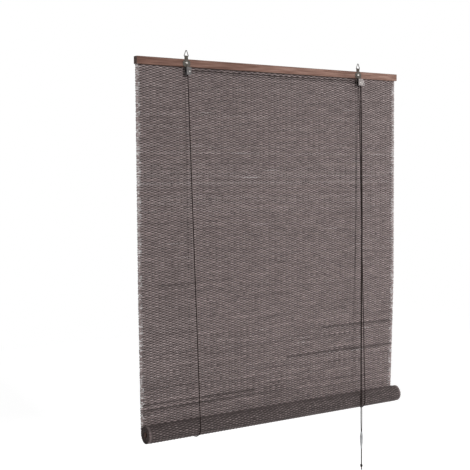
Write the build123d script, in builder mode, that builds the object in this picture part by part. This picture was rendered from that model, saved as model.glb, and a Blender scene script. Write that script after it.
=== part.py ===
# Woven bamboo roll-up blind with ring hangers, a pulley, a cord lock and a safety connector.
# Millimetres. The origin is the centre of the rail's back face, +X is to the right seen from the
# front, the front faces -Y and +Z is up. A depth is measured forwards from the wall.
import os
from math import asin, atan2, cos, degrees, hypot, pi, radians, sin, sqrt, tan

from build123d import *

os.makedirs("parts", exist_ok=True)

# Rail
blind_width = 900.0
rail_height = 20.0
batten_depth = 10.0
strip_depth = 5.0
rail_edge_round = 1.2

# Mat of woven sticks
mat_thickness = 2.4
stick_pitch = 3.4
valley_share = 0.45
gap_length = 60.0
gap_height = 1.0
gap_stagger = 28.0
gap_columns = 8
gap_rows = 13
left_draw_in = 3.0
right_draw_in = 12.5
draw_in_height = 360.0

# Roll at the bottom of the mat
roll_drop = 982.0
roll_radius = 25.5
turn_pitch = 2.6

# Bottom bar in the core of the roll
bar_height = 14.0
bar_depth = 8.0
bar_edge_round = 1.0

# Nails through strip, mat and batten
nail_count = 7
nail_end_inset = 45.0
nail_length = 13.0
nail_radius = 0.7
nail_head_radius = 1.6
nail_head_height = 0.8

# Hanger plates
left_hanger_inset = 148.0
right_hanger_inset = 155.7
plate_thickness = 1.0
plate_width = 23.0
plate_shoulder_height = 3.0
plate_neck_height = 8.5
plate_waist_height = 7.0
plate_corner_round = 1.0
tongue_width = 12.0
tongue_length = 20.0
neck_width = 9.0

# Wire rings
ring_wire_radius = 1.0
ring_bar_lift = 7.5
ring_base_width = 14.4
ring_height = 18.5
ring_base_bend = 1.8
ring_apex_bend = 1.6

# Hanger screws
screw_radius = 1.4
screw_grip = 8.0
screw_head_radius = 3.2
screw_head_height = 1.8
screw_head_round = 1.2
screw_slot_width = 0.8
screw_slot_depth = 0.7
screw_slot_angle = -50.0

# Pulley housing and lock housing, folded from one sheet
sheet_thickness = 0.8
sheet_bend = 0.8
housing_gap = 8.0
housing_height = 21.0
housing_top_gap = 1.0
pulley_left = 5.5
pulley_right = 9.0
cheek_corner_round = 3.0
lock_left = 6.3
lock_top_right = 10.5
lock_bottom_right = 19.0
lock_corner_round = 1.5

# Wheels and axle rivets
axle_radius = 1.0
axle_drop = 13.0
axle_head_radius = 2.2
axle_head_height = 1.0
axle_head_round = 0.7
lock_axle_offset = 2.3
wheel_width = 7.4
wheel_flange_radius = 3.9
groove_flare = 0.3
groove_spacing = 3.5

# Lock pin and lock roller
pin_radius = 0.9
pin_head_radius = 1.4
pin_head_height = 0.8
pin_below_axle = 1.5
slot_travel = 5.0
slot_angle = -50.0
roller_radius = 2.0
roller_width = 7.2
flute_radius = 0.3
flute_count = 10

# Cords
cord_radius = 1.0
cord_turn_radius = 3.5
left_lift_shift = 10.8
left_back_shift = 3.0
right_lift_shift = -3.5
right_back_shift = 2.0
cord_anchor_depth = 2.5
cord_anchor_length = 8.0
wrap_slack = 0.1
cross_sag = 1.0
cross_sag_share = 0.3
twist_x = 293.5
twist_drop = 330.0
left_twist_depth = 36.0
right_twist_depth = 35.2
roll_pass_drop = 990.0

# Connector, tail cord and knot
connector_x = 275.3
connector_depth = 56.2
connector_drop = 1077.0
connector_upper_length = 17.0
connector_lower_length = 34.0
connector_radius = 4.4
connector_top_radius = 2.3
connector_foot_radius = 2.1
plug_radius = 2.0
plug_length = 6.0
plug_end_gap = 1.0
tail_radius = 1.4
tail_length = 49.0
knot_length = 8.0
knot_radius = 3.2
loose_end_length = 8.5

# Fits
fit_clearance = 0.05
seat_clearance = 0.1
soft_clearance = 0.3
overrun = 5.0

# Places worked out from the sizes above
half_width = blind_width / 2
rail_top = rail_height / 2
mat_front = strip_depth + mat_thickness
mat_middle = strip_depth + mat_thickness / 2
rail_front = mat_front + batten_depth
roll_depth = strip_depth + roll_radius
roll_left = left_draw_in - half_width
roll_right = half_width - right_draw_in
left_hanger_x = left_hanger_inset - half_width
right_hanger_x = half_width - right_hanger_inset
plate_front = rail_front + plate_thickness
housing_back = plate_front
gap_back = housing_back + sheet_thickness
gap_front = gap_back + housing_gap
housing_front = gap_front + sheet_thickness
housing_top = -rail_top - housing_top_gap
housing_bottom = housing_top - housing_height
wheel_depth = (gap_back + gap_front) / 2
axle_z = -rail_top - axle_drop
left_axle_x = left_hanger_x + cord_turn_radius
right_axle_x = right_hanger_x + lock_axle_offset
ring_z = rail_top + ring_bar_lift
ring_depth = rail_front - ring_wire_radius - fit_clearance
pull_x = right_axle_x + cord_turn_radius
pin_x = pull_x + cord_radius + soft_clearance + roller_radius
pin_z = axle_z - pin_below_axle
nail_spacing = (blind_width - 2 * nail_end_inset) / (nail_count - 1)
nail_places = [(i - (nail_count - 1) / 2) * nail_spacing for i in range(nail_count)]


def front_plane(depth):
    """The plane that faces the front at this depth: its x is +X and its y is +Z."""
    return Plane.XZ.offset(depth)


def axle_plane(x, z):
    """A plane through a front-to-back axle: its x is the depth and its y is the radius."""
    return Plane(origin=(x, 0, z), x_dir=(0, -1, 0), z_dir=(-1, 0, 0))


def axle_axis(x, z):
    """The front-to-back axis of that axle."""
    return Axis((x, 0, z), (0, 1, 0))


def save(builder, name):
    """Label a finished piece and write it."""
    builder.part.label = name
    export_step(builder.part, f"parts/{name}.step")


# Headrail, with pilot holes for the screws and nails
with BuildPart() as headrail:
    with BuildSketch(front_plane(mat_front)):
        Rectangle(blind_width, rail_height)
    extrude(amount=batten_depth)
    fillet(headrail.faces().sort_by(Axis.Y)[0].edges().filter_by(Axis.X), rail_edge_round)
    with BuildSketch(front_plane(rail_front)):
        with Locations((left_hanger_x, 0), (right_hanger_x, 0)):
            Circle(screw_radius + fit_clearance)
    extrude(amount=-screw_grip, mode=Mode.SUBTRACT)
    with BuildSketch(front_plane(mat_front)):
        with Locations(*[(x, 0) for x in nail_places]):
            Circle(nail_radius + fit_clearance)
    extrude(amount=nail_length - mat_front, mode=Mode.SUBTRACT)
save(headrail, "headrail")

# Rear strip, with the nail holes and the two holes that hold the lift cords' ends
with BuildPart() as rear_strip:
    with BuildSketch(front_plane(0)):
        Rectangle(blind_width, rail_height)
    extrude(amount=strip_depth)
    fillet(rear_strip.faces().sort_by(Axis.Y)[-1].edges().filter_by(Axis.X), rail_edge_round)
    with BuildSketch(front_plane(0)):
        with Locations(*[(x, 0) for x in nail_places]):
            Circle(nail_radius + fit_clearance)
    extrude(amount=strip_depth, mode=Mode.SUBTRACT)
    with BuildSketch(front_plane(0)):
        with Locations(*[(x, 0) for x in nail_places]):
            Circle(nail_head_radius + fit_clearance)
    extrude(amount=nail_head_height + seat_clearance, mode=Mode.SUBTRACT)
    with BuildSketch(Plane.XY.offset(-rail_top)):
        with Locations((left_hanger_x, -cord_anchor_depth), (right_hanger_x, -cord_anchor_depth)):
            Circle(cord_radius + fit_clearance)
    extrude(amount=cord_anchor_length, mode=Mode.SUBTRACT)
save(rear_strip, "rear_strip")

# Nails
with BuildPart() as strip_nails:
    with BuildSketch(front_plane(seat_clearance)):
        with Locations(*[(x, 0) for x in nail_places]):
            Circle(nail_head_radius)
    extrude(amount=nail_head_height)
    with BuildSketch(front_plane(seat_clearance)):
        with Locations(*[(x, 0) for x in nail_places]):
            Circle(nail_radius)
    extrude(amount=nail_length - seat_clearance)
save(strip_nails, "strip_nails")


def band_outline(middle_line):
    """Ridged outline of a band of sticks.

    Each entry of the middle line is a point and the unit normal there, at half-stick steps that
    start between two sticks. Odd entries are the crests of the sticks.
    """
    valley = valley_share * mat_thickness / 2
    crest = mat_thickness / 2
    one_side = []
    other_side = []
    for step, (point, normal) in enumerate(middle_line):
        half = crest if step % 2 else valley
        one_side.append(point + normal * half)
        other_side.append(point - normal * half)
    return one_side + other_side[::-1]


# Hanging length of the mat, from the top of the rail down to the back of the roll. Its sides draw
# in a little above the roll, because the weave is pulled tighter there.
hang_length = rail_top + roll_drop
stick_count = round(hang_length / stick_pitch)
hang_pitch = hang_length / stick_count
hang_line = [
    (Vector(-mat_middle, rail_top - step * hang_pitch / 2), Vector(1, 0))
    for step in range(2 * stick_count + 1)
]
gap_row_sticks = stick_count // gap_rows
gap_places = [
    ((-1) ** row * gap_stagger, rail_top - (row + 1 / 2) * gap_row_sticks * hang_pitch)
    for row in range(gap_rows)
]

with BuildPart() as hanging_mat:
    with BuildSketch(Plane.YZ):
        with BuildLine():
            Polyline(*band_outline(hang_line), close=True)
        make_face()
    extrude(amount=half_width, both=True)
    with BuildSketch(front_plane(strip_depth - overrun)):
        for place in gap_places:
            with Locations(place):
                with GridLocations(blind_width / gap_columns, 0, gap_columns, 1):
                    Rectangle(gap_length, gap_height)
        with Locations(*[(x, 0) for x in nail_places]):
            Circle(nail_radius + fit_clearance)
        for edge, inner in ((-half_width, roll_left), (half_width, roll_right)):
            with BuildLine():
                Polyline(
                    (edge, draw_in_height - roll_drop),
                    (edge, -roll_drop),
                    (inner, -roll_drop),
                    close=True,
                )
            make_face()
    extrude(amount=mat_thickness + 2 * overrun, mode=Mode.SUBTRACT)
save(hanging_mat, "hanging_mat")

# Rolled length of the mat: a spiral band that runs down the back, forwards under the roll and in
turn_rate = turn_pitch / (2 * pi)
outer_middle = roll_radius - mat_thickness / 2
bar_corner_depth = bar_depth / 2 - bar_edge_round
bar_corner_height = bar_height / 2 - bar_edge_round
core_radius = hypot(bar_corner_depth, bar_corner_height) + bar_edge_round + soft_clearance
inner_middle = core_radius + mat_thickness / 2
rolled_length = (outer_middle**2 - inner_middle**2) / (2 * turn_rate)
rolled_sticks = round(rolled_length / stick_pitch)
rolled_pitch = rolled_length / rolled_sticks


def roll_line(step):
    """Point and outward normal on the spiral, counted in half sticks from where the roll starts."""
    radius = sqrt(outer_middle**2 - step * rolled_pitch * turn_rate)
    turn = (outer_middle - radius) / turn_rate
    outward = Vector(cos(turn), -sin(turn))
    return Vector(-roll_depth, -roll_drop) + outward * radius, outward


with BuildPart() as rolled_mat:
    with BuildSketch(Plane.YZ.offset(roll_left)):
        with BuildLine():
            Polyline(*band_outline([roll_line(s) for s in range(2 * rolled_sticks + 1)]), close=True)
        make_face()
    extrude(amount=roll_right - roll_left)
save(rolled_mat, "rolled_mat")

# Bottom bar, turned so that one corner carries the last stick of the mat
last_stick = roll_line(2 * rolled_sticks - 1)[1]
bar_tilt = degrees(atan2(last_stick.Y, last_stick.X) - atan2(bar_corner_height, bar_corner_depth))
with BuildPart() as bottom_bar:
    with BuildSketch(Plane.YZ.offset(roll_left)):
        with Locations((-roll_depth, -roll_drop)):
            Rectangle(bar_depth, bar_height, rotation=bar_tilt)
    extrude(amount=roll_right - roll_left)
    fillet(bottom_bar.edges().filter_by(Axis.X), bar_edge_round)
save(bottom_bar, "bottom_bar")

# Hanger plates: shoulders, neck, a tongue below the rail and a tab folded back over the ring
plate_half = plate_width / 2
neck_half = neck_width / 2
tongue_half = tongue_width / 2
tongue_end = -rail_top - tongue_length
plate_right_side = [
    (tongue_half, tongue_end),
    (tongue_half, -rail_top),
    (plate_half, -plate_waist_height),
    (plate_half, plate_shoulder_height),
    (neck_half, plate_neck_height),
    (neck_half, ring_z),
]
plate_left_side = [(-x, z) for x, z in reversed(plate_right_side)]
fold_inner = ring_wire_radius + fit_clearance
fold_outer = fold_inner + plate_thickness
fold_foot = rail_top + soft_clearance

for side, place, axle_x in (
    ("left", left_hanger_x, left_axle_x),
    ("right", right_hanger_x, right_axle_x),
):
    with BuildPart() as plate:
        with BuildSketch(front_plane(rail_front)) as face:
            with BuildLine():
                Polyline(*[(place + x, z) for x, z in plate_right_side + plate_left_side], close=True)
            make_face()
            by_side = face.vertices().group_by(Axis.X)
            low_corners = face.vertices().group_by(Axis.Y)[0]
            fillet(by_side[0] + by_side[-1] + low_corners, plate_corner_round)
        extrude(amount=plate_thickness)
        with BuildSketch(Plane.YZ.offset(place)):
            with Locations((-ring_depth, ring_z)):
                Circle(fold_outer)
                Rectangle(2 * fold_outer, fold_outer, align=(Align.CENTER, Align.MAX), mode=Mode.SUBTRACT)
            with Locations((-ring_depth + fold_outer, ring_z)):
                Rectangle(plate_thickness, ring_z - fold_foot, align=(Align.MAX, Align.MAX))
            with Locations((-ring_depth, ring_z)):
                Circle(fold_inner, mode=Mode.SUBTRACT)
        extrude(amount=neck_half, both=True)
        with BuildSketch(front_plane(rail_front)):
            with Locations((place, 0)):
                Circle(screw_radius + fit_clearance)
            with Locations((axle_x, axle_z)):
                Circle(axle_radius + fit_clearance)
        extrude(amount=plate_thickness, mode=Mode.SUBTRACT)
    save(plate, f"{side}_hanger_plate")

    with BuildPart() as ring:
        with BuildLine() as loop:
            FilletPolyline(
                (place - ring_base_width / 2, -ring_depth, ring_z),
                (place + ring_base_width / 2, -ring_depth, ring_z),
                (place, -ring_depth, ring_z + ring_height),
                radius=[ring_base_bend, ring_base_bend, ring_apex_bend],
                close=True,
            )
        with BuildSketch(Plane(origin=loop.wire() @ 0, z_dir=loop.wire() % 0)):
            Circle(ring_wire_radius)
        sweep(path=loop.wire())
    save(ring, f"{side}_hanging_ring")

# Hanger screws, with a slotted round head
with BuildPart() as hanger_screws:
    with BuildSketch(front_plane(plate_front)):
        with Locations((left_hanger_x, 0), (right_hanger_x, 0)):
            Circle(screw_head_radius)
    extrude(amount=screw_head_height)
    front_rims = hanger_screws.faces().group_by(Axis.Y)[0].edges()
    fillet(front_rims, screw_head_round)
    with BuildSketch(front_plane(plate_front + screw_head_height)):
        with Locations((left_hanger_x, 0), (right_hanger_x, 0)):
            Rectangle(2 * screw_head_radius, screw_slot_width, rotation=screw_slot_angle)
    extrude(amount=-screw_slot_depth, mode=Mode.SUBTRACT)
    with BuildSketch(front_plane(plate_front)):
        with Locations((left_hanger_x, 0), (right_hanger_x, 0)):
            Circle(screw_radius)
    extrude(amount=-(plate_thickness + screw_grip))
save(hanger_screws, "hanger_screws")


def housing_sheet(left, width):
    """Inverted U of sheet from the back cheek over the top to the front cheek."""
    with BuildPart() as sheet:
        with BuildSketch(Plane.YZ.offset(left)) as section:
            with Locations((-wheel_depth, housing_bottom)):
                Rectangle(
                    housing_gap + 2 * sheet_thickness,
                    housing_height,
                    align=(Align.CENTER, Align.MIN),
                )
                Rectangle(
                    housing_gap,
                    housing_height - sheet_thickness,
                    align=(Align.CENTER, Align.MIN),
                    mode=Mode.SUBTRACT,
                )
            fillet(section.vertices().group_by(Axis.Y)[-2], sheet_bend)
            fillet(section.vertices().group_by(Axis.Y)[-1], sheet_bend + sheet_thickness)
        extrude(amount=width)
    return sheet.part


# Pulley housing on the left
with BuildPart() as left_pulley_housing:
    add(housing_sheet(left_hanger_x - pulley_left, pulley_left + pulley_right))
    low_corners = left_pulley_housing.edges().filter_by(Axis.Y).group_by(Axis.Z)[0]
    fillet(low_corners, cheek_corner_round)
    with BuildSketch(front_plane(housing_back)):
        with Locations((left_axle_x, axle_z)):
            Circle(axle_radius + fit_clearance)
    extrude(amount=housing_front - housing_back, mode=Mode.SUBTRACT)
save(left_pulley_housing, "left_pulley_housing")

# Lock housing on the right: the cheeks flare towards the slanted slots of the lock pin
lock_width = lock_left + lock_bottom_right
slot_middle = (
    pin_x + cos(radians(slot_angle)) * slot_travel / 2,
    pin_z + sin(radians(slot_angle)) * slot_travel / 2,
)
with BuildPart() as lock_housing:
    add(housing_sheet(right_hanger_x - lock_left, lock_width))
    with BuildSketch(front_plane(housing_back - overrun)):
        with BuildLine():
            Polyline(
                (right_hanger_x + lock_top_right, housing_top + overrun),
                (right_hanger_x + lock_top_right, housing_top - sheet_bend - sheet_thickness),
                (right_hanger_x + lock_bottom_right, housing_bottom),
                (right_hanger_x + lock_bottom_right + overrun, housing_bottom),
                (right_hanger_x + lock_bottom_right + overrun, housing_top + overrun),
                close=True,
            )
        make_face()
    extrude(amount=housing_front - housing_back + 2 * overrun, mode=Mode.SUBTRACT)
    low_corners = lock_housing.edges().filter_by(Axis.Y).group_by(Axis.Z)[0]
    fillet(low_corners, lock_corner_round)
    with BuildSketch(front_plane(housing_back)):
        with Locations((right_axle_x, axle_z)):
            Circle(axle_radius + fit_clearance)
        with Locations(slot_middle):
            SlotCenterToCenter(slot_travel, 2 * (pin_radius + fit_clearance), rotation=slot_angle)
    extrude(amount=housing_front - housing_back, mode=Mode.SUBTRACT)
save(lock_housing, "lock_housing")

# Wheels and their axle rivets
groove_floor = cord_turn_radius - cord_radius - soft_clearance
groove_half = cord_radius + soft_clearance
groove_mouth = groove_half + groove_flare
bore = axle_radius + fit_clearance
wheel_half = wheel_width / 2

for side, axle_x, grooves in (
    ("left", left_axle_x, [0]),
    ("right", right_axle_x, [-groove_spacing / 2, groove_spacing / 2]),
):
    rim = []
    for groove in grooves:
        rim += [
            (wheel_depth + groove - groove_mouth, wheel_flange_radius),
            (wheel_depth + groove - groove_half, groove_floor),
            (wheel_depth + groove + groove_half, groove_floor),
            (wheel_depth + groove + groove_mouth, wheel_flange_radius),
        ]
    with BuildPart() as wheel:
        with BuildSketch(axle_plane(axle_x, axle_z)):
            with BuildLine():
                Polyline(
                    (wheel_depth - wheel_half, bore),
                    (wheel_depth - wheel_half, wheel_flange_radius),
                    *rim,
                    (wheel_depth + wheel_half, wheel_flange_radius),
                    (wheel_depth + wheel_half, bore),
                    close=True,
                )
            make_face()
        revolve(axis=axle_axis(axle_x, axle_z))
    save(wheel, f"{side}_pulley_wheel")

    with BuildPart() as axle:
        with BuildSketch(front_plane(rail_front - axle_head_height)):
            with Locations((axle_x, axle_z)):
                Circle(axle_head_radius)
        extrude(amount=axle_head_height)
        with BuildSketch(front_plane(housing_front)):
            with Locations((axle_x, axle_z)):
                Circle(axle_head_radius)
        extrude(amount=axle_head_height)
        fillet(axle.faces().sort_by(Axis.Y)[0].edges(), axle_head_round)
        with BuildSketch(front_plane(rail_front)):
            with Locations((axle_x, axle_z)):
                Circle(axle_radius)
        extrude(amount=housing_front - rail_front)
    save(axle, f"{side}_axle_rivet")

# Lock pin with a head outside each cheek, and the fluted roller on it
pin_back = housing_back - seat_clearance
pin_front = housing_front + seat_clearance
with BuildPart() as lock_pin:
    with BuildSketch(front_plane(pin_back - pin_head_height)):
        with Locations((pin_x, pin_z)):
            Circle(pin_head_radius)
    extrude(amount=pin_head_height)
    with BuildSketch(front_plane(pin_front)):
        with Locations((pin_x, pin_z)):
            Circle(pin_head_radius)
    extrude(amount=pin_head_height)
    with BuildSketch(front_plane(pin_back)):
        with Locations((pin_x, pin_z)):
            Circle(pin_radius)
    extrude(amount=pin_front - pin_back)
save(lock_pin, "lock_pin")

with BuildPart() as lock_roller:
    with BuildSketch(front_plane(wheel_depth - roller_width / 2)):
        with Locations((pin_x, pin_z)):
            Circle(roller_radius)
            with PolarLocations(roller_radius, flute_count):
                Circle(flute_radius, mode=Mode.SUBTRACT)
            Circle(pin_radius + fit_clearance, mode=Mode.SUBTRACT)
    extrude(amount=roller_width)
save(lock_roller, "lock_roller")


def cord_tube(route, radii, name):
    """Round cord along straight runs joined by tangent arcs, one radius for each inner corner."""
    with BuildPart() as cord:
        with BuildLine() as path:
            FilletPolyline(*route, radius=radii)
        line = path.wire()
        with BuildSketch(Plane(origin=line @ 0, z_dir=line % 0)):
            Circle(cord_radius)
        sweep(path=line)
    expected = pi * cord_radius**2 * line.length
    print(name, "length", round(line.length, 1), "radii", [round(r, 1) for r in radii])
    print(name, "volume share", round(cord.part.volume / expected, 4))
    save(cord, name)


def gentle_radius(before, corner, after):
    """Largest easy arc at a corner: 0.45 of the shorter run over the tangent of half the turn."""
    arc_share = 0.45
    first = Vector(corner) - Vector(before)
    second = Vector(after) - Vector(corner)
    half_turn = radians(first.get_angle(second)) / 2
    return arc_share * min(first.length, second.length) / tan(half_turn)


def gentle_radii(route):
    """One such radius for every inner corner of a route."""
    return [gentle_radius(*route[i : i + 3]) for i in range(len(route) - 2)]


# Lift cords: from the strip down behind the mat, under the roll and up the front to a wheel
wrap_back = roll_radius + soft_clearance + cord_radius
wrap_low = wrap_back - turn_pitch / 4
wrap_front = wrap_back - turn_pitch / 2
cord_top = axle_z + cord_turn_radius
back_depth = strip_depth - soft_clearance - cord_radius
lift_drop = cord_top + roll_drop


def lift_run(anchor_x, back_x, front_x, wheel_x, depth):
    """Points of a lift cord from its anchor to the corner over its wheel, and their radii."""
    forwards = roll_depth - depth
    lean = asin(wrap_front / hypot(lift_drop, forwards)) + atan2(forwards, lift_drop)
    low = -roll_drop - wrap_low
    front_depth = depth + tan(lean) * (cord_top - low)
    points = [
        (anchor_x, -cord_anchor_depth, -rail_top + cord_anchor_length - seat_clearance),
        (back_x, -back_depth, low),
        (front_x, -front_depth, low),
        (wheel_x, -depth, cord_top),
    ]
    return points, [wrap_back - wrap_slack, wrap_front - wrap_slack]


front_groove = wheel_depth + groove_spacing / 2
rear_groove = wheel_depth - groove_spacing / 2
cross_length = pull_x - left_hanger_x
cross_middle = [
    (
        left_hanger_x + share * cross_length,
        -(wheel_depth + share * (front_groove - wheel_depth)),
        cord_top - cross_sag,
    )
    for share in (cross_sag_share, 1 - cross_sag_share)
]
left_points, left_radii = lift_run(
    left_hanger_x,
    left_hanger_x + left_back_shift,
    left_hanger_x + left_lift_shift,
    left_hanger_x,
    wheel_depth,
)
left_points += [*cross_middle, (pull_x, -front_groove, cord_top)]
sag_radii = gentle_radii(left_points[-4:])
left_points.append((pull_x, -front_groove, housing_bottom))
cord_tube(
    left_points,
    [*left_radii, cord_turn_radius, *sag_radii, cord_turn_radius],
    "left_lift_cord",
)

right_wheel_x = right_axle_x - cord_turn_radius
right_points, right_radii = lift_run(
    right_hanger_x,
    right_hanger_x + right_back_shift,
    right_wheel_x + right_lift_shift,
    right_wheel_x,
    rear_groove,
)
right_points += [(pull_x, -rear_groove, cord_top), (pull_x, -rear_groove, housing_bottom)]
turn_over = cord_turn_radius - wrap_slack / 2
cord_tube(right_points, [*right_radii, turn_over, turn_over], "right_lift_cord")

# Pull cords: from the lock down beside the right lift cord, over the front of the roll
pair_half = cord_radius + wrap_slack
for side, depth, offset, twist_depth in (
    ("left", front_groove, pair_half, left_twist_depth),
    ("right", rear_groove, -pair_half, right_twist_depth),
):
    pull_route = [
        (pull_x, -depth, housing_bottom),
        (twist_x + offset, -twist_depth, -twist_drop),
        (connector_x + offset, -connector_depth - wrap_slack, -roll_pass_drop),
        (connector_x + offset, -connector_depth, -connector_drop),
    ]
    cord_tube(pull_route, gentle_radii(pull_route), f"{side}_pull_cord")

# Connector: two turned halves that snap together and let go under a hard pull
connector_plane = Plane(origin=(connector_x, -connector_depth, 0), x_dir=(1, 0, 0), z_dir=(0, -1, 0))
connector_axis = Axis((connector_x, -connector_depth, 0), (0, 0, 1))
seam_z = -connector_drop - connector_upper_length
foot_z = seam_z - connector_lower_length
socket_radius = plug_radius + fit_clearance

with BuildPart() as connector_upper:
    with BuildSketch(connector_plane):
        with BuildLine():
            Polyline(
                (0, seam_z + plug_length + plug_end_gap),
                (0, -connector_drop),
                (connector_top_radius, -connector_drop),
            )
            Spline(
                (connector_top_radius, -connector_drop),
                (connector_radius, seam_z),
                tangents=[(connector_radius - connector_top_radius, seam_z + connector_drop), (0, -1)],
            )
            Polyline(
                (connector_radius, seam_z),
                (socket_radius, seam_z),
                (socket_radius, seam_z + plug_length + plug_end_gap),
                (0, seam_z + plug_length + plug_end_gap),
            )
        make_face()
    revolve(axis=connector_axis)
save(connector_upper, "connector_upper")

lower_top = seam_z - seat_clearance
with BuildPart() as connector_lower:
    with BuildSketch(connector_plane):
        with BuildLine():
            Polyline(
                (0, foot_z),
                (0, seam_z + plug_length),
                (plug_radius, seam_z + plug_length),
                (plug_radius, lower_top),
                (connector_radius, lower_top),
            )
            Spline(
                (connector_radius, lower_top),
                (connector_foot_radius, foot_z),
                tangents=[(0, -1), (connector_foot_radius - connector_radius, foot_z - lower_top)],
            )
            Line((connector_foot_radius, foot_z), (0, foot_z))
        make_face()
    revolve(axis=connector_axis)
save(connector_lower, "connector_lower")

# Tail cord and the knot at its end, with the short loose end under it
knot_top = foot_z - tail_length
knot_foot = knot_top - knot_length
with BuildPart() as tail_cord:
    with BuildSketch(Plane.XY.offset(knot_top)):
        with Locations((connector_x, -connector_depth)):
            Circle(tail_radius)
    extrude(amount=tail_length)
save(tail_cord, "tail_cord")

with BuildPart() as tail_knot:
    with BuildSketch(connector_plane):
        with BuildLine():
            Polyline(
                (tail_radius, knot_foot),
                (tail_radius, knot_foot - loose_end_length),
                (0, knot_foot - loose_end_length),
                (0, knot_top),
                (tail_radius, knot_top),
            )
            ThreePointArc(
                (tail_radius, knot_top),
                (knot_radius, (knot_top + knot_foot) / 2),
                (tail_radius, knot_foot),
            )
        make_face()
    revolve(axis=connector_axis)
save(tail_knot, "tail_knot")
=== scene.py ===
# %% [markdown]
# # A woven bamboo roll-up blind
# This lesson dresses the finished frame of a bamboo blind: the wooden rail with its two ring
# hangers, the pulley and the cord lock, the lift cords, and above all the mat of dark bamboo
# sticks that is woven together with thin threads and rolled up at the bottom.
# The frame gives every place and size in metres. The blind hangs in the plane of X and Z, its
# front looks towards -Y, and the origin is the middle of the rail's back face.

# %% Load the frame
from math import ceil, cos, pi, radians, sin

import bpy
import numpy as np
from mathutils import Matrix, Vector


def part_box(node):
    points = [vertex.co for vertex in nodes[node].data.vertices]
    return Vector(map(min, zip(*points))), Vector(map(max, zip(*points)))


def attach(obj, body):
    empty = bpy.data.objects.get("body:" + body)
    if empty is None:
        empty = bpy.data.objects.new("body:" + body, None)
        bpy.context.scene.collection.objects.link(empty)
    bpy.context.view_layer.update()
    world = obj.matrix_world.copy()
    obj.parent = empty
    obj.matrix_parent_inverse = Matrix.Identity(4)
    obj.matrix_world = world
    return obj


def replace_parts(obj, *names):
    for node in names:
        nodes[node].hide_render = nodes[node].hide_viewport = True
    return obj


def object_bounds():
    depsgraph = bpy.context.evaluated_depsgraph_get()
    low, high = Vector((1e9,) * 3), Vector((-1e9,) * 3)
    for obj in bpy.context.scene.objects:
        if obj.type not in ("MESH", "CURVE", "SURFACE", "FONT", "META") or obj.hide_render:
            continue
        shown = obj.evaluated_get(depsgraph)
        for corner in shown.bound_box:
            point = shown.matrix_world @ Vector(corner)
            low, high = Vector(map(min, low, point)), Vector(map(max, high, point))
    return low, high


mm = 0.001
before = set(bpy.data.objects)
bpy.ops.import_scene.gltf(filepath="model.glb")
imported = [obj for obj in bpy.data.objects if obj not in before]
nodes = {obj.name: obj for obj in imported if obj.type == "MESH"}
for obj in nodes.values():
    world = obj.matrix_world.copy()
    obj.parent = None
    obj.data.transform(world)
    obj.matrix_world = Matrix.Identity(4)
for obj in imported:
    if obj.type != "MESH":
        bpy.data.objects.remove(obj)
cad_low, cad_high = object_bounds()
print("frame box", [round(v, 4) for v in (*cad_low, *cad_high)])

# %% [markdown]
# ## Camera
# The picture was taken from the blind's left, a little above the middle of its height, with a
# lens that is long enough to keep the upright lines nearly parallel. The camera is turned to the
# right, tipped down a little and leans by less than half a degree, so its three axes are worked
# out from those three angles instead of being aimed at a point.

# %% Place the camera
photo_size = 470
focal_pixels = 950.33
sensor_width = 36.0
camera_place = Vector((-1.58946, -2.2318, -0.31253))
camera_yaw, camera_pitch, camera_roll = radians(33.0), radians(-3.319), radians(-0.397)

level_ahead = Vector((sin(camera_yaw), cos(camera_yaw), 0))
level_right = Vector((cos(camera_yaw), -sin(camera_yaw), 0))
upright = Vector((0, 0, 1))
ahead = level_ahead * cos(camera_pitch) + upright * sin(camera_pitch)
up = upright * cos(camera_pitch) - level_ahead * sin(camera_pitch)
camera_x = level_right * cos(camera_roll) + up * sin(camera_roll)
camera_y = up * cos(camera_roll) - level_right * sin(camera_roll)

bpy.ops.object.camera_add()
camera = bpy.context.object
camera.data.sensor_width = sensor_width
camera.data.lens = focal_pixels / photo_size * sensor_width
camera.matrix_world = Matrix.Translation(camera_place) @ Matrix(
    (camera_x, camera_y, -ahead)
).transposed().to_4x4()
bpy.context.scene.camera = camera
print("lens", round(camera.data.lens, 2), "mm")

# %% [markdown]
# ## Stage and light
# The blind hangs free in front of plain white, so white shows through the gaps of the weave. The
# world is plain white to the camera and in reflections, and gives a softer light to the surfaces.
# The key lamp is far away, straight ahead and a little above, so the cords throw short and rather
# sharp shadows and the lower half of the roll turns dark. A broad fill stands close by on the right
# and makes that side brighter, and another lights the back. A pale floor lies where a room's floor
# would be. Where it is seen directly it glows a little, so that it melts into the white.

# %% Light the stage
scene = bpy.context.scene
scene.view_settings.view_transform = "Standard"
ambient_strength = 0.05
key_place = Vector((-0.5, -8.0, 1.6))
key_target = Vector((0, 0, -0.5))
key_size = 0.16
key_power = 468.0
fill_place = Vector((1.35, -0.95, -0.45))
fill_size = 0.8
fill_power = 13.5
back_place = Vector((0.9, 3.2, 0.8))
back_size = 2.4
back_power = 75.0
floor_drop = 2.0
floor_size = 14.0
floor_roughness = 0.9
floor_tone = 0.86
floor_seen_tone = 0.25
floor_seen_glow = 0.925


def seen_directly(tree):
    """One for rays from the eye, in a reflection or through glass, and zero for other light."""
    path = tree.nodes.new("ShaderNodeLightPath")
    total = None
    for ray in ("Is Camera Ray", "Is Glossy Ray", "Is Transmission Ray"):
        if total is None:
            total = path.outputs[ray]
            continue
        add = tree.nodes.new("ShaderNodeMath")
        add.operation = "ADD"
        add.use_clamp = True
        tree.links.new(total, add.inputs[0])
        tree.links.new(path.outputs[ray], add.inputs[1])
        total = add.outputs[0]
    return total


def ranged(tree, value, low, high):
    """A value from zero to one, spread from low to high."""
    spread = tree.nodes.new("ShaderNodeMapRange")
    spread.inputs["To Min"].default_value = low
    spread.inputs["To Max"].default_value = high
    tree.links.new(value, spread.inputs["Value"])
    return spread.outputs["Result"]


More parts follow.
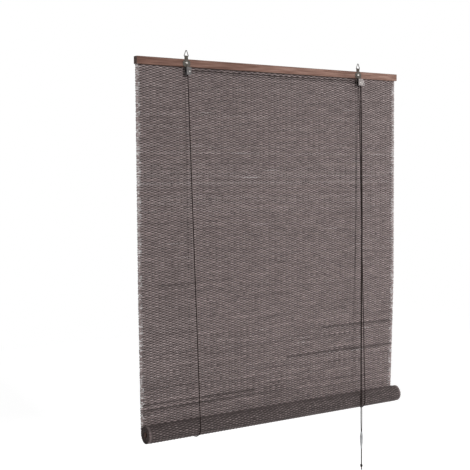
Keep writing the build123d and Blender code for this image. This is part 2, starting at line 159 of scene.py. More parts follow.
world = bpy.data.worlds.new("white_studio")
scene.world = world
world.use_nodes = True
sky = world.node_tree.nodes["Background"]
sky.inputs["Color"].default_value = (1, 1, 1, 1)
sky_seen = seen_directly(world.node_tree)
sky_strength = ranged(world.node_tree, sky_seen, ambient_strength, 1.0)
world.node_tree.links.new(sky_strength, sky.inputs["Strength"])


def soft_lamp(name, place, target, size, power):
    """A square lamp that points at a target."""
    bpy.ops.object.light_add(type="AREA", location=place)
    lamp = bpy.context.object
    lamp.name = name
    lamp.data.size = size
    lamp.data.energy = power
    lamp.rotation_mode = "QUATERNION"
    lamp.rotation_quaternion = (target - place).to_track_quat("-Z", "Y")


soft_lamp("key_lamp", key_place, key_target, key_size, key_power)
soft_lamp("fill_lamp", fill_place, key_target, fill_size, fill_power)
soft_lamp("back_lamp", back_place, key_target, back_size, back_power)

bpy.ops.mesh.primitive_plane_add(size=floor_size, location=(0, 0, -floor_drop))
floor = bpy.context.object
floor.name = "floor"
pale = bpy.data.materials.new("pale_floor")
pale.use_nodes = True
pale_shader = pale.node_tree.nodes["Principled BSDF"]
pale_shader.inputs["Roughness"].default_value = floor_roughness
pale_shader.inputs["Emission Color"].default_value = (1, 1, 1, 1)
floor_seen = seen_directly(pale.node_tree)
for socket, unseen, seen in (
    ("Base Color", floor_tone, floor_seen_tone),
    ("Emission Strength", 0.0, floor_seen_glow),
):
    level = ranged(pale.node_tree, floor_seen, unseen, seen)
    pale.node_tree.links.new(level, pale_shader.inputs[socket])
floor.data.materials.append(pale)
print("stage ready")

# %% [markdown]
# ## Shared effects
# An effect that comes back in several finishes is a node group that is built once. Long grain is
# noise drawn out along one direction, as in split bamboo and planed wood. Handled metal gives
# smudges and fine scratches. Laid twist gives the slanted strands of a cord from its UV map, which
# runs in metres along the cord and once round it. Only the cords use it, and as a group it keeps
# their finish short.

# %% Build the node groups
def new_group(name, inputs, outputs):
    """A shader node group with these sockets; returns it with its two end nodes."""
    group = bpy.data.node_groups.new(name, "ShaderNodeTree")
    for label, kind, value in inputs:
        socket = group.interface.new_socket(label, in_out="INPUT", socket_type=kind)
        if value is not None:
            socket.default_value = value
    for label, kind in outputs:
        group.interface.new_socket(label, in_out="OUTPUT", socket_type=kind)
    return group, group.nodes.new("NodeGroupInput"), group.nodes.new("NodeGroupOutput")


def put(tree, kind, settings=None, **sockets):
    """Add a node, set its own settings, and fill or link its inputs by name, or as i0, i1 by number."""
    node = tree.nodes.new(kind)
    for key, value in (settings or {}).items():
        setattr(node, key, value)
    for key, value in sockets.items():
        target = node.inputs[int(key[1:])] if key[0] == "i" and key[1:].isdigit() else node.inputs[key]
        if isinstance(value, bpy.types.NodeSocket):
            tree.links.new(value, target)
        else:
            target.default_value = value
    return node


def reckon(tree, operation, first, second):
    """The result of one operation on two values."""
    return put(tree, "ShaderNodeMath", {"operation": operation}, i0=first, i1=second).outputs[0]


long_grain, source, sink = new_group(
    "Long Grain",
    [
        ("Vector", "NodeSocketVector", None),
        ("Scale", "NodeSocketFloat", 300.0),
        ("Stretch", "NodeSocketFloat", 20.0),
        ("Detail", "NodeSocketFloat", 4.0),
    ],
    [("Streaks", "NodeSocketFloat"), ("Pores", "NodeSocketFloat")],
)
squeeze = reckon(long_grain, "DIVIDE", 1.0, source.outputs["Stretch"])
shape = put(long_grain, "ShaderNodeCombineXYZ", X=squeeze, Y=1.0, Z=1.0)
drawn = put(
    long_grain,
    "ShaderNodeVectorMath",
    {"operation": "MULTIPLY"},
    i0=source.outputs["Vector"],
    i1=shape.outputs[0],
)
broad = put(
    long_grain,
    "ShaderNodeTexNoise",
    Vector=drawn.outputs[0],
    Scale=source.outputs["Scale"],
    Detail=source.outputs["Detail"],
)
fine_scale = reckon(long_grain, "MULTIPLY", source.outputs["Scale"], 4.0)
fine = put(long_grain, "ShaderNodeTexNoise", Vector=drawn.outputs[0], Scale=fine_scale, Detail=2.0)
pores = put(
    long_grain, "ShaderNodeMapRange", Value=fine.outputs["Fac"], **{"From Min": 0.55, "From Max": 0.75}
)
long_grain.links.new(broad.outputs["Fac"], sink.inputs["Streaks"])
long_grain.links.new(pores.outputs[0], sink.inputs["Pores"])

handled_metal, source, sink = new_group(
    "Handled Metal",
    [("Vector", "NodeSocketVector", None), ("Scale", "NodeSocketFloat", 200.0)],
    [("Smudges", "NodeSocketFloat"), ("Scratches", "NodeSocketFloat")],
)
smudge = put(
    handled_metal,
    "ShaderNodeTexNoise",
    Vector=source.outputs["Vector"],
    Scale=source.outputs["Scale"],
    Detail=3.0,
)
slant = put(handled_metal, "ShaderNodeMapping", Vector=source.outputs["Vector"])
slant.inputs["Rotation"].default_value = (0.3, 0.6, 0.2)
slant.inputs["Scale"].default_value = (1.0, 14.0, 14.0)
scratch_noise = put(
    handled_metal,
    "ShaderNodeTexNoise",
    Vector=slant.outputs[0],
    Scale=source.outputs["Scale"],
    Detail=1.0,
)
scratches = put(
    handled_metal,
    "ShaderNodeMapRange",
    Value=scratch_noise.outputs["Fac"],
    **{"From Min": 0.6, "From Max": 0.7},
)
handled_metal.links.new(smudge.outputs["Fac"], sink.inputs["Smudges"])
handled_metal.links.new(scratches.outputs[0], sink.inputs["Scratches"])

laid_twist, source, sink = new_group(
    "Laid Twist",
    [
        ("UV", "NodeSocketVector", None),
        ("Turns", "NodeSocketFloat", 160.0),
        ("Strands", "NodeSocketFloat", 3.0),
    ],
    [("Height", "NodeSocketFloat")],
)
parts = put(laid_twist, "ShaderNodeSeparateXYZ", Vector=source.outputs["UV"])
along = reckon(laid_twist, "MULTIPLY", parts.outputs["X"], source.outputs["Turns"])
lead = reckon(laid_twist, "ADD", along, parts.outputs["Y"])
strand = reckon(laid_twist, "MULTIPLY", lead, source.outputs["Strands"])
crest = reckon(laid_twist, "PINGPONG", strand, 0.5)
height = put(laid_twist, "ShaderNodeMapRange", Value=crest, **{"From Max": 0.5})
laid_twist.links.new(height.outputs[0], sink.inputs["Height"])
print("groups", [g.name for g in bpy.data.node_groups])

# %% [markdown]
# ## Finishes
# Every finish is a Principled shader fed by one of those groups or by plain noise: that gives a
# mask, a colour ramp turns the mask into colours, and on most of them a bump node gives the
# surface some depth. Values that are the same all over a surface are set on the shader itself.

# %% Make the finishes
def new_finish(name, roughness, metallic=0.0, specular=0.5):
    """A material with its node tree and its shader."""
    material = bpy.data.materials.new(name)
    material.use_nodes = True
    shader = material.node_tree.nodes["Principled BSDF"]
    shader.inputs["Roughness"].default_value = roughness
    shader.inputs["Metallic"].default_value = metallic
    shader.inputs["Specular IOR Level"].default_value = specular
    return material, material.node_tree, shader


def use(tree, group, **sockets):
    """Place a node group."""
    return put(tree, "ShaderNodeGroup", {"node_tree": group}, **sockets)


def ramp(tree, value, *stops):
    """A colour ramp: each stop is a place and a colour."""
    node = put(tree, "ShaderNodeValToRGB", Fac=value)
    elements = node.color_ramp.elements
    while len(elements) < len(stops):
        elements.new(0.5)
    for element, (place, colour) in zip(elements, stops):
        element.position = place
        element.color = (*colour, 1)
    return node.outputs["Color"]


def mixed(tree, factor, first, second, blend="MIX"):
    """Two colours mixed by a factor: inputs 0, 6 and 7 and output 2 of a Mix node set to colours."""
    node = put(tree, "ShaderNodeMix", {"data_type": "RGBA", "blend_type": blend})
    for index, value in ((0, factor), (6, first), (7, second)):
        if isinstance(value, bpy.types.NodeSocket):
            tree.links.new(value, node.inputs[index])
        else:
            node.inputs[index].default_value = value if index == 0 else (*value, 1)
    return node.outputs[2]


def bumped(tree, shader, height, distance, strength):
    """Feed a height into the shader's normal."""
    bump = put(tree, "ShaderNodeBump", Height=height, Distance=distance, Strength=strength)
    tree.links.new(bump.outputs["Normal"], shader.inputs["Normal"])


def object_place(tree):
    """The place on the piece, in metres."""
    return put(tree, "ShaderNodeTexCoord").outputs["Object"]


# Dark stained bamboo: each stick has a tone of its own, with long pale and dark fibres. Its colour
# is also painted paler where the stick bends out and darker where a thread holds it down and on the
# mat's back: a painted highlight and painted shade, partly also rubbed stain.
bamboo, tree, shader = new_finish("stained_bamboo", 0.68, specular=0.2)
grain = use(tree, long_grain, Vector=object_place(tree), Scale=330.0, Stretch=10.0)
tone = put(tree, "ShaderNodeAttribute", {"attribute_name": "stick_tone"})
stain = ramp(
    tree,
    grain.outputs["Streaks"],
    (0.32, (0.106, 0.084, 0.082)),
    (0.50, (0.155, 0.124, 0.121)),
    (0.68, (0.211, 0.170, 0.166)),
)
own_tone = ramp(
    tree, tone.outputs["Fac"], (0.0, (0.5, 0.49, 0.49)), (0.5, (1.0, 1.0, 1.0)), (1.0, (1.45, 1.45, 1.45))
)
# Painted highlight and painted shade, partly rubbed stain, from a value kept on the sticks
rub_and_painted_light = put(tree, "ShaderNodeAttribute", {"attribute_name": "rub_and_painted_light"})
crest_light_trough_shade = ramp(
    tree, rub_and_painted_light.outputs["Fac"], (0.1, (0.26, 0.25, 0.25)), (0.5, (0.9, 0.9, 0.9)), (0.9, (1.75, 1.75, 1.75))
)
stick_colour = mixed(tree, 1.0, stain, own_tone, "MULTIPLY")
stick_colour = mixed(tree, 1.0, stick_colour, crest_light_trough_shade, "MULTIPLY")
tree.links.new(stick_colour, shader.inputs["Base Color"])
bumped(tree, shader, grain.outputs["Streaks"], 0.0002, 0.5)

# Warp thread: dark cotton
thread_finish, tree, shader = new_finish("dark_thread", 0.9, specular=0.15)
fuzz = put(tree, "ShaderNodeTexNoise", Vector=object_place(tree), Scale=1800.0, Detail=2.0)
thread_colour = ramp(tree, fuzz.outputs["Fac"], (0.3, (0.012, 0.010, 0.010)), (0.7, (0.045, 0.036, 0.034)))
tree.links.new(thread_colour, shader.inputs["Base Color"])
bumped(tree, shader, fuzz.outputs["Fac"], 0.0001, 0.6)


def planed_wood(name, dark, middle, light, roughness):
    """Stained wood with its grain along the rail, and a left end painted darker and a little redder, as
    painted shade.
    """
    material, tree, shader = new_finish(name, roughness, specular=0.2)
    place = object_place(tree)
    across = put(tree, "ShaderNodeSeparateXYZ", Vector=place)
    ends = {"From Min": cad_low[0], "From Max": cad_high[0]}
    run = put(tree, "ShaderNodeMapRange", Value=across.outputs["X"], **ends)
    # Painted shade along the rail: darker and a little redder towards the left end, and slightly darker at
    # the right end
    drift = ramp(
        tree,
        run.outputs["Result"],
        (0.0, (0.70, 0.62, 0.58)),
        (0.45, (1.0, 1.0, 1.0)),
        (1.0, (0.95, 0.95, 0.95)),
    )
    grain = use(tree, long_grain, Vector=place, Scale=220.0, Stretch=16.0, Detail=5.0)
    cloud = put(tree, "ShaderNodeTexNoise", Vector=place, Scale=9.0, Detail=3.0)
    colour = ramp(tree, grain.outputs["Streaks"], (0.30, dark), (0.5, middle), (0.72, light))
    patch = ramp(tree, cloud.outputs["Fac"], (0.3, (0.84, 0.83, 0.82)), (0.7, (1.12, 1.12, 1.12)))
    colour = mixed(tree, 1.0, mixed(tree, 1.0, colour, patch, "MULTIPLY"), drift, "MULTIPLY")
    pore_mask = reckon(tree, "MULTIPLY", grain.outputs["Pores"], 0.55)
    colour = mixed(tree, pore_mask, colour, dark)
    tree.links.new(colour, shader.inputs["Base Color"])
    bumped(tree, shader, grain.outputs["Streaks"], 0.0003, 0.35)
    return material


batten_finish = planed_wood(
    "stained_batten", (0.098, 0.045, 0.031), (0.196, 0.109, 0.084), (0.280, 0.175, 0.141), 0.5
)
bar_finish = planed_wood("bar_wood", (0.045, 0.017, 0.012), (0.10, 0.042, 0.030), (0.16, 0.075, 0.055), 0.55)


def metal(name, dark, light, roughness_low, roughness_high):
    """Plated metal with smudges and fine scratches."""
    material, tree, shader = new_finish(name, roughness_low, metallic=1.0)
    wear = use(tree, handled_metal, Vector=object_place(tree), Scale=240.0)
    colour = ramp(tree, wear.outputs["Smudges"], (0.3, dark), (0.7, light))
    tree.links.new(colour, shader.inputs["Base Color"])
    rough = ranged(tree, wear.outputs["Smudges"], roughness_low, roughness_high)
    tree.links.new(rough, shader.inputs["Roughness"])
    bumped(tree, shader, wear.outputs["Scratches"], 0.00005, 0.3)
    return material


# The hanger plates and rings: their dark brownish colour is a painted reflection of the brown wood and of
# darker surroundings than the white studio
plate_finish = metal("plate_painted_reflection", (0.040, 0.035, 0.030), (0.085, 0.077, 0.068), 0.38, 0.55)
sheet_finish = metal("dull_sheet", (0.066, 0.063, 0.063), (0.135, 0.128, 0.127), 0.36, 0.5)
lock_finish = metal("plated_sheet", (0.135, 0.122, 0.119), (0.255, 0.230, 0.224), 0.34, 0.5)
bright_finish = metal("bright_steel", (0.32, 0.30, 0.285), (0.55, 0.53, 0.50), 0.25, 0.4)

nylon_finish, tree, shader = new_finish("black_nylon", 0.45)
mottle = put(tree, "ShaderNodeTexNoise", Vector=object_place(tree), Scale=900.0, Detail=2.0)
nylon_colour = ramp(tree, mottle.outputs["Fac"], (0.3, (0.012, 0.012, 0.012)), (0.7, (0.03, 0.03, 0.03)))
tree.links.new(nylon_colour, shader.inputs["Base Color"])
bumped(tree, shader, mottle.outputs["Fac"], 0.00005, 0.3)

# Cord: dark laid strands that show by their shadows
cord_finish, tree, shader = new_finish("laid_cord", 0.9, specular=0.1)
cord_map = put(tree, "ShaderNodeUVMap")
twist = use(tree, laid_twist, UV=cord_map.outputs[0], Turns=150.0)
cord_colour = ramp(
    tree, twist.outputs["Height"], (0.05, (0.005, 0.003, 0.0027)), (0.6, (0.019, 0.012, 0.0105))
)
tree.links.new(cord_colour, shader.inputs["Base Color"])
bumped(tree, shader, twist.outputs["Height"], 0.0003, 0.8)

# Connector: milky see-through plastic
plastic_finish, tree, shader = new_finish("milky_plastic", 0.3)
shader.inputs["Transmission Weight"].default_value = 0.35
shader.inputs["IOR"].default_value = 1.49
haze = put(tree, "ShaderNodeTexNoise", Vector=object_place(tree), Scale=260.0, Detail=2.0)
plastic_colour = ramp(tree, haze.outputs["Fac"], (0.3, (0.38, 0.39, 0.40)), (0.7, (0.50, 0.51, 0.52)))
tree.links.new(plastic_colour, shader.inputs["Base Color"])
print("finishes", len(bpy.data.materials))

# %% [markdown]
# ## Cords
# Two lift cords hold the roll. Each starts in the strip behind the rail, runs down behind the
# mat, under the roll and up its front to a wheel. From the left wheel the cord crosses to the
# lock on the right, and from there both hang down as the pull cords, which end in a connector.
# A cord's route is a short list of given points, in millimetres, and a NURBS line with
# those points as its control points gives the smooth run. A tube is then made round that line,
# with a UV map for the strands.

# %% Make the cords
cord_diameter = 2.0 * mm
lift_diameter = 2.3 * mm
tail_diameter = 3.2 * mm
tube_sides = 8
route_order = 3
route_steps = 12


def smooth_line(points):
    """Points of a NURBS line that has these control points, in metres."""
    curve = bpy.data.curves.new("route", "CURVE")
    curve.dimensions = "3D"
    curve.resolution_u = route_steps
    spline = curve.splines.new("NURBS")
    spline.points.add(len(points) - 1)
    for control, point in zip(spline.points, points):
        control.co = (*(Vector(point) * mm), 1)
    spline.order_u = route_order
    spline.use_endpoint_u = True
    carrier = bpy.data.objects.new("route", curve)
    bpy.context.collection.objects.link(carrier)
    mesh = bpy.data.meshes.new_from_object(carrier.evaluated_get(bpy.context.evaluated_depsgraph_get()))
    line = [vertex.co.copy() for vertex in mesh.vertices]
    bpy.data.objects.remove(carrier)
    bpy.data.curves.remove(curve)
    bpy.data.meshes.remove(mesh)
    return line


def tube(name, line, radius, sides=tube_sides):
    """A closed tube round a line, with metres along it and one turn round it as its UV map."""
    last = len(line) - 1
    tangents = [(line[min(i + 1, last)] - line[max(i - 1, 0)]).normalized() for i in range(last + 1)]
    side = tangents[0].orthogonal().normalized()
    verts = []
    lengths = [0.0]
    for i, point in enumerate(line):
        side = (side - tangents[i] * side.dot(tangents[i])).normalized()
        other = tangents[i].cross(side)
        for s in range(sides):
            angle = 2 * pi * s / sides
            verts.append(point + (side * cos(angle) + other * sin(angle)) * radius)
        if i:
            lengths.append(lengths[-1] + (point - line[i - 1]).length)
    faces = []
    uvs = []
    for i in range(last):
        for s in range(sides):
            t = (s + 1) % sides
            faces.append((i * sides + s, i * sides + t, (i + 1) * sides + t, (i + 1) * sides + s))
            low, high = s / sides, (s + 1) / sides
            uvs += [(lengths[i], low), (lengths[i], high), (lengths[i + 1], high), (lengths[i + 1], low)]
    for ring, order in ((0, -1), (last, 1)):
        faces.append([ring * sides + s for s in range(sides)][::order])
        uvs += [(lengths[ring], s / sides) for s in range(sides)]
    mesh = bpy.data.meshes.new(name)
    mesh.from_pydata(verts, [], faces)
    layer = mesh.uv_layers.new(name="UVMap")
    for loop, uv in zip(layer.data, uvs):
        loop.uv = uv
    mesh.polygons.foreach_set("use_smooth", [True] * len(mesh.polygons))
    piece = bpy.data.objects.new(name, mesh)
    bpy.context.collection.objects.link(piece)
    return piece


def cord(name, line, diameter, body, *replaced):
    """A cord along a line; returns the piece and its length."""
    piece = tube(name, line, diameter / 2)
    piece.data.materials.append(cord_finish)
    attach(piece, body)
    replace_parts(piece, *replaced)
    length = sum((b - a).length for a, b in zip(line, line[1:]))
    print(name, "length", round(length, 4))
    return piece, length


left_lift_route = [
    (-302, -2.5, -2.1), (-301.9, -2.6, -30), (-299.1, -3.7, -948), (-299, -3.7, -970.9),
    (-298.6, -3.7, -993.1), (-296.6, -19.4, -1008.1), (-293.3, -41.4, -1008.1),
    (-291.4, -56.0, -992.6), (-291.6, -55.6, -971), (-301.9, -23.5, -30), (-302, -23.2, -19.5),
    (-293, -23.25, -19.6), (-121.4, -23.7, -20.5), (119.5, -24.4, -20.5), (291, -24.9, -19.6),
    (300.1, -24.95, -19.5), (300.1, -24.95, -27), (300.1, -24.95, -32),
]
right_lift_route = [
    (294.3, -2.5, -2.1), (294.4, -2.6, -30), (296.2, -3.7, -948), (296.3, -3.7, -970.9),
    (296.1, -3.7, -993.1), (294.0, -19.4, -1008.1), (291.1, -41.4, -1008.1),
    (289.7, -56.0, -992.6), (289.8, -55.6, -971), (293.1, -21.8, -30), (293.1, -21.45, -19.5),
    (300.1, -21.45, -19.5), (300.1, -21.45, -27), (300.1, -21.45, -32),
]
cord("left_lift_line", smooth_line(left_lift_route), lift_diameter, "blind", "left_lift_cord")
cord("right_lift_line", smooth_line(right_lift_route), lift_diameter, "blind", "right_lift_cord")

left_pull_route = [
    (300.1, -24.95, -32), (294.8, -36.0, -330), (292.9, -39.3, -440), (283.2, -47.2, -690),
    (278.6, -52.7, -870), (276.8, -56.3, -990), (276.8, -56.2, -1060), (276.4, -56.2, -1077),
]
right_pull_route = [
    (300.1, -21.45, -32), (292.6, -35.2, -330), (290.7, -38.6, -440), (281.0, -46.9, -690),
    (275.6, -52.6, -870), (273.2, -56.3, -990), (273.0, -56.2, -1056), (274.2, -56.2, -1077),
]
for name, route, node in (
    ("left_pull_line", left_pull_route, "left_pull_cord"),
    ("right_pull_line", right_pull_route, "right_pull_cord"),
):
    line = smooth_line(route)
    piece, length = cord(name, line, cord_diameter, "blind", node)

# %% [markdown]
# A single, thicker cord hangs from the connector and ends in a knot. The knot is the same cord
# wound round itself: its line leaves the middle, makes a few turns on the way down, comes back to
# the middle, and ends in a short loose end.

# %% Make the tail and its knot
tail_x, tail_y = 275.3, -56.2
tail_route = [(tail_x, tail_y, -1128), (tail_x, tail_y, -1152), (tail_x, tail_y, -1177)]
knot_top, knot_foot, loose_foot = -1176.6, -1184.6, -1193.5
knot_turns = 2.6
knot_reach = 2.2
knot_steps = 64
knot_tuck = 2
knot_ease = 6
half_lean, loose_lean = 0.3, 0.8
knot_line = [Vector((tail_x, tail_y, knot_top + knot_tuck)) * mm]
for step in range(knot_steps + 1):
    share = step / knot_steps
    reach = knot_reach * min(1, knot_ease * share, knot_ease * (1 - share))
    turn = 2 * pi * knot_turns * share
    height = knot_top + (knot_foot - knot_top) * share
    knot_line.append(Vector((tail_x + reach * cos(turn), tail_y + reach * sin(turn), height)) * mm)
knot_line.append(Vector((tail_x + half_lean, tail_y, (knot_foot + loose_foot) / 2)) * mm)
knot_line.append(Vector((tail_x + loose_lean, tail_y, loose_foot)) * mm)
knot, _ = cord("tail_knot_turns", knot_line, tail_diameter, "connector_lower", "tail_knot")

tail_line = smooth_line(tail_route)
tail_piece, tail_length = cord("tail_line", tail_line, tail_diameter, "connector_lower", "tail_cord")

# %% [markdown]
# ## The woven mat
# The mat is a plain weave. Hundreds of split bamboo sticks lie across, and thin threads run down
# and pass over one stick and under the next, so each stick bends a little back and forth. Sticks
# are never alike: they differ in width and tone, drift and leave uneven gaps, and stop a little
# short of the mat's edge, by turns on the left and on the right. One stick is modelled from a cube
# and repeated by an array, and then each point is moved by the rule of the weave. The flat mat is
# laid out last: drawn in a little at both sides towards the roll, down from behind the rail, and
# round the spiral of the roll.

# %% Sizes of the weave
mat_low, mat_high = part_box("hanging_mat")
mat_middle = (mat_low.y + mat_high.y) / 2
mat_top = mat_high.z
half_width = mat_high.x
hang_length = mat_high.z - mat_low.z
roll_low, roll_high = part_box("rolled_mat")
left_draw_in = half_width + roll_low.x
right_draw_in = half_width - roll_high.x
draw_in_height = 360 * mm
hanging_sticks = 292
stick_pitch = hang_length / hanging_sticks
roll_radius = 25.5 * mm
roll_centre_y = mat_high.y - roll_radius
roll_centre_z = mat_low.z
turn_pitch = 2.6 * mm
turn_rate = turn_pitch / (2 * pi)
outer_middle = roll_radius - (mat_high.y - mat_middle)
inner_middle = 9.21 * mm
rolled_length = (outer_middle**2 - inner_middle**2) / (2 * turn_rate)
rolled_sticks = int(rolled_length / stick_pitch)
warp_count = 90
warp_pitch = 2 * half_width / warp_count
free_warps = 1
stick_steps = 2 * warp_count
stick_width = 3.36 * mm
stick_thickness = 0.95 * mm
weave_depth = 0.72 * mm
thread_width = 1.4 * mm
thread_thickness = 0.45 * mm
dice = np.random.default_rng(3147)
print("sticks", hanging_sticks, "hanging and", rolled_sticks, "rolled")


def lay_out(down, forward):
    """Y and Z of a place on the mat, given how far down it is and how far forward of the middle."""
    rolled = np.clip(down - hang_length, 0, rolled_length)
    radius = np.sqrt(outer_middle**2 - 2 * turn_rate * rolled)
    turn = (outer_middle - radius) / turn_rate
    on_roll = down > hang_length
    y = np.where(on_roll, roll_centre_y + np.cos(turn) * (radius - forward), mat_middle - forward)
    z = np.where(on_roll, roll_centre_z - np.sin(turn) * (radius - forward), mat_top - down)
    return y, z


def drawn_in(x, down):
    """X of a place across the mat, once its sides are drawn in towards the roll."""
    share = np.clip((down - hang_length) / draw_in_height + 1, 0, 1)
    return x * (1 - share * np.where(x < 0, left_draw_in, right_draw_in) / half_width)


rare_share = 0.008


def wander(rows, steps, knots, size, rare=0.0):
    """A random line for each row, through so many knots, a few of which stand out by the rare size."""
    heights = dice.normal(0, size, (rows, knots))
    heights += rare * (dice.uniform(0, 1, heights.shape) < rare_share) * dice.normal(0, 1, heights.shape)
    at = np.linspace(0, knots - 1, steps)
    return np.array([np.interp(at, range(knots), row) for row in heights])


# %% [markdown]
# ### One bar, repeated
# Sticks and threads are both thin bars with a ring of points at each step of the weave. A long box
# could be subdivided, but an array of short open boxes that merge end to end gives exactly the
# steps that are wanted. The holes at both ends are then filled, and a second array lays the copies
# side by side in one mesh.

# %% Model one stick or thread and repeat it
merge_gap = 0.01 * mm


def repeat(piece, count, offset, joined):
    """Repeat a piece by an array, with the copies joined end to end or left apart."""
    array = piece.modifiers.new("repeat", "ARRAY")
    array.use_relative_offset = False
    array.use_constant_offset = True
    array.constant_offset_displace = offset
    array.count = count
    array.use_merge_vertices = joined
    array.merge_threshold = merge_gap
    bpy.ops.object.modifier_apply(modifier=array.name)


def repeated_bar(name, size, along, steps, offset, count):
    """A bar that has so many equal steps along one axis, repeated count times, as one mesh."""
    step = Vector(size)
    step[along] = size[along] / steps
    run = Vector((0, 0, 0))
    run[along] = step[along]
    bpy.ops.object.select_all(action="DESELECT")
    bpy.ops.mesh.primitive_cube_add(size=1, location=-run * (steps - 1) / 2)
    bar = bpy.context.object
    bar.name = name
    bar.scale = step
    bpy.ops.object.transform_apply(location=True, rotation=False, scale=True)
    for face in bar.data.polygons:
        face.select = abs(face.normal[along]) > 0.5
    bpy.ops.object.mode_set(mode="EDIT")
    bpy.ops.mesh.delete(type="ONLY_FACE")
    bpy.ops.object.mode_set(mode="OBJECT")
    repeat(bar, steps, run, True)
    bpy.ops.object.mode_set(mode="EDIT")
    bpy.ops.mesh.select_all(action="SELECT")
    bpy.ops.mesh.fill_holes(sides=4)
    bpy.ops.object.mode_set(mode="OBJECT")
    repeat(bar, count, offset, False)
    bpy.ops.object.shade_smooth()
    return bar


# Edit mode works on faces
bpy.context.tool_settings.mesh_select_mode = (False, False, True)
print("bar tool ready")

# %% [markdown]
# ### Sticks
# The rule for a stick: at each thread it bends back where the thread passes in front of it and
# forward where the thread passes behind, and the next stick does the opposite. Its line drifts a
# little, its width changes, and both ends are cut at a length of their own. Past the last thread
# the ends stand free, and there they are slimmer and spread a little. Two attributes are kept for
# the finish: the tone of the stick, and a value of painted light and shade, partly rubbed stain,
# which is highest where the stick bends out, low where it bends back, lower on the mat's back as
# painted shade, and pale on the free ends as a painted highlight. The hanging mat is made in three
# pieces, so that none of them gets too heavy, and the roll in two: the turn that shows, and the
# turns inside it, which are left straight.

# %% Weave the sticks
def points_of(piece):
    """All points of a piece as an array."""
    flat = np.empty(3 * len(piece.data.vertices))
    piece.data.vertices.foreach_get("co", flat)
    return flat.reshape(-1, 3)


def set_points(piece, x, y, z):
    """Move all points of a piece."""
    piece.data.vertices.foreach_set("co", np.column_stack((x, y, z)).ravel())
    piece.data.update()


end_short = 0.6 * mm
end_spread = 0.5 * mm
# Steps that fall past a stick's end stay this far apart
end_pinch = 0.01 * mm
end_taper = (0.88, 0.94, 1.04)
end_fine, end_coarse = 0.6, 1.4
end_drift = (0.50 * mm, 0.35 * mm, 0.15 * mm)
drift_size = 0.02 * mm
part_size = 0.35 * mm
drift_limit = 0.45 * mm
drift_knots = 26
width_spread = 0.015
width_drift = width_spread / 3
width_low, width_high = 0.92, 1.04
mat_tone, tone_step = 0.5, 0.08
tone_spread = 0.08
tone_knots = 9
tone_rare = 0.35
even_stick, uneven_stick, uneven_tone = 190, 250, 2.2
# Dark sticks: the first and last number, and where they start and end across, in metres
dark_sticks = (
    (246, 247, 0.03, 0.45),
    (270, 271, -0.45, -0.08),
    (274, 275, -0.45, 0.05),
    (224, 225, 0.16, 0.45),
)
dark_step = 0.52
# Painted shade: the sticks of the roll get a darker tone
roll_shade_tone = 0.18
rub_and_shade_spread = 0.3
rub_and_shade_knots = 60
# Painted light and shade on the sticks: the front is paler where it bends out and darker where it bends
# back, the back is darker as painted shade, and the free ends are pale as a painted highlight
front_shade_middle, front_light_shade_range = 0.5, 0.5
back_shade_middle, back_shade_range = 0.28, 0.52
cut_end_highlight = 0.75


def stick_ends(first, count):
    """How much each stick falls short of the mat's edge, turn about on the left and on the right."""
    odd = (first + np.arange(count)) % 2
    return end_short * np.column_stack((odd, 1 - odd)) + np.abs(dice.normal(0, end_spread, (count, 2)))


def stick_tones(first, count, steps):
    """Tone along each stick: every other one is a little paler, the lower ones are the most
    uneven, and the roll is painted darker, as painted shade."""
    number = first + np.arange(count)
    rolled = number >= hanging_sticks
    tone = np.where(rolled, roll_shade_tone, mat_tone + tone_step * (number % 2 - 0.5))[:, None]
    uneven = np.interp(number, (even_stick, uneven_stick), (1, uneven_tone))[:, None]
    uneven[rolled] = 1
    tone = tone + uneven * wander(count, steps + 1, tone_knots, tone_spread, tone_rare)
    at = np.linspace(-half_width, half_width, steps + 1)
    for top, bottom, left, right in dark_sticks:
        tone[(number >= top) & (number <= bottom)] -= dark_step * ((at >= left) & (at <= right))
    return np.clip(tone, 0, 1)


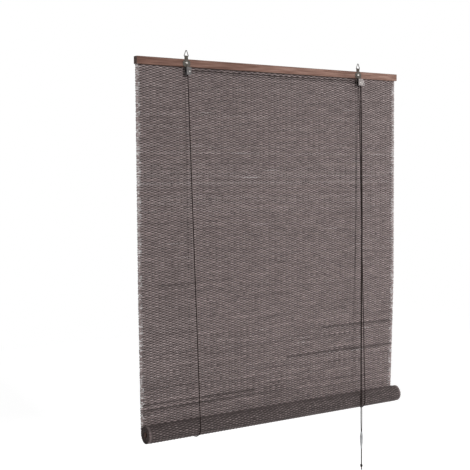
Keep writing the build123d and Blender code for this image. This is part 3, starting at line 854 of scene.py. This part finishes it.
def stick_rows(name, first, count, steps, waves):
    """So many sticks from number first on, laid out in their places; waves is 0 for straight ones."""
    size = (2 * half_width, stick_thickness, stick_width)
    piece = repeated_bar(name, size, 0, steps, (0, 0, -stick_pitch), count)
    x, y, z = points_of(piece).T
    row = np.rint(-z / stick_pitch).astype(int)
    rise = z + row * stick_pitch
    step = np.rint((x + half_width) / (2 * half_width) * steps).astype(int)
    drift = wander(count, steps + 1, drift_knots, drift_size, part_size)
    drift = np.clip(drift, -drift_limit, drift_limit)
    width = 1 + dice.normal(0, width_spread, (count, 1))
    width = width + wander(count, steps + 1, drift_knots, width_drift)
    width = np.clip(width, width_low, width_high)
    for place, (taper, loose) in enumerate(zip(end_taper, end_drift)):
        for edge in (place, steps - place):
            slim = waves * taper * dice.uniform(end_fine, end_coarse, count) + 1 - waves
            width[:, edge] *= np.minimum(slim, 1)
            drift[:, edge] += waves * np.clip(dice.normal(0, loose, count), -loose, loose)
    down = (first + row + 0.5) * stick_pitch + drift[row, step] - rise * width[row, step]
    from_edge = np.minimum(step, steps - step)
    woven = from_edge >= 2 * free_warps
    wave = waves * woven * weave_depth * (-1.0) ** (first + row) * np.sin(pi / 2 * step)
    left_short, right_short = stick_ends(first, count)[row].T
    left_end = left_short - half_width + step * end_pinch
    right_end = half_width - right_short - (steps - step) * end_pinch
    x = np.where(step == 0, left_end, np.where(step == steps, right_end, np.clip(x, left_end, right_end)))
    set_points(piece, drawn_in(x, down), *lay_out(down, wave - y))
    # Painted light and shade, partly rubbed stain: paler where the stick bends out, darker where it bends
    # back and on the back, and a fixed pale value on the free ends as a painted highlight
    bend = wave / weave_depth * (1 + wander(count, steps + 1, rub_and_shade_knots, rub_and_shade_spread))[row, step]
    rub_and_painted_light = np.where(y < 0, front_shade_middle + front_light_shade_range * bend, back_shade_middle - back_shade_range * bend)
    rub_and_painted_light = np.where(woven, np.clip(rub_and_painted_light, 0, 1), cut_end_highlight)
    tone = stick_tones(first, count, steps)[row, step]
    for label, values in (("stick_tone", tone), ("rub_and_painted_light", rub_and_painted_light)):
        mark = piece.data.attributes.new(label, "FLOAT", "POINT")
        mark.data.foreach_set("value", values.astype(np.float32))
    piece.data.materials.append(bamboo)
    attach(piece, "blind")
    print(name, len(piece.data.polygons) * 2, "triangles")
    return piece


thirds = [ceil(hanging_sticks * third / 3) for third in range(4)]
for name, first, after in zip(("upper", "middle", "lower"), thirds, thirds[1:]):
    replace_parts(stick_rows(f"mat_sticks_{name}", first, after - first, stick_steps, 1), "hanging_mat")
shown_sticks = 50
inner_steps = 6
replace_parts(stick_rows("roll_sticks_outer", hanging_sticks, shown_sticks, stick_steps, 1), "rolled_mat")
inner_first = hanging_sticks + shown_sticks
inner_count = rolled_sticks - shown_sticks
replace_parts(stick_rows("roll_sticks_inner", inner_first, inner_count, inner_steps, 0), "rolled_mat")

# %% [markdown]
# ### Threads
# A thread has one ring of points at each stick, in front of it or behind it. It follows the same
# rule as the sticks, so it always lies on the side that the stick has bent away from.

# %% Weave the threads
thread_lift = stick_thickness / 2 + thread_thickness / 2 - weave_depth
thread_stray = 0.25 * mm
thread_knots = 12


def thread_rows(name, first_warp, warps, first, count):
    """So many threads from number first_warp on, over so many sticks from number first on."""
    length = (count - 1) * stick_pitch
    size = (thread_width, thread_thickness, length)
    piece = repeated_bar(name, size, 2, count - 1, (warp_pitch, 0, 0), warps)
    x, y, z = points_of(piece).T
    warp = np.rint(x / warp_pitch).astype(int)
    row = np.rint((length / 2 - z) / stick_pitch).astype(int)
    across = x - warp * warp_pitch
    stray = wander(warps, count, thread_knots, thread_stray)
    side = -((-1.0) ** (first_warp + warp + first + row))
    x = -half_width + (first_warp + warp + 0.5) * warp_pitch + across + stray[warp, row]
    down = (first + row + 0.5) * stick_pitch
    set_points(piece, drawn_in(x, down), *lay_out(down, side * thread_lift - y))
    piece.data.materials.append(thread_finish)
    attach(piece, "blind")
    print(name, len(piece.data.polygons) * 2, "triangles")
    return piece


half_warps = warp_count // 2
for name, first_warp in (("left", free_warps), ("right", half_warps)):
    threads = thread_rows(f"mat_threads_{name}", first_warp, half_warps - free_warps, 0, hanging_sticks + 1)
    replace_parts(threads, "hanging_mat")
all_warps = warp_count - 2 * free_warps
roll_threads = thread_rows("roll_threads", free_warps, all_warps, hanging_sticks, rolled_sticks)
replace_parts(roll_threads, "rolled_mat")

# %% [markdown]
# ## Rail, hangers, pulley and lock
# These pieces have their true form in the frame already, so each one keeps its mesh and only
# gets its finish.

# %% Finish the frame's own pieces
finish_of = {
    "headrail": batten_finish,
    "rear_strip": batten_finish,
    "bottom_bar": bar_finish,
    "left_hanger_plate": plate_finish,
    "right_hanger_plate": plate_finish,
    "left_hanging_ring": plate_finish,
    "right_hanging_ring": plate_finish,
    "left_pulley_housing": sheet_finish,
    "lock_housing": lock_finish,
    "strip_nails": bright_finish,
    "hanger_screws": bright_finish,
    "left_axle_rivet": bright_finish,
    "right_axle_rivet": bright_finish,
    "lock_pin": bright_finish,
    "lock_roller": bright_finish,
    "left_pulley_wheel": nylon_finish,
    "right_pulley_wheel": nylon_finish,
    "connector_upper": plastic_finish,
    "connector_lower": plastic_finish,
}
for node, finish in finish_of.items():
    for slot in nodes[node].material_slots:
        slot.material = finish
print("finished", len(finish_of), "pieces of the frame")
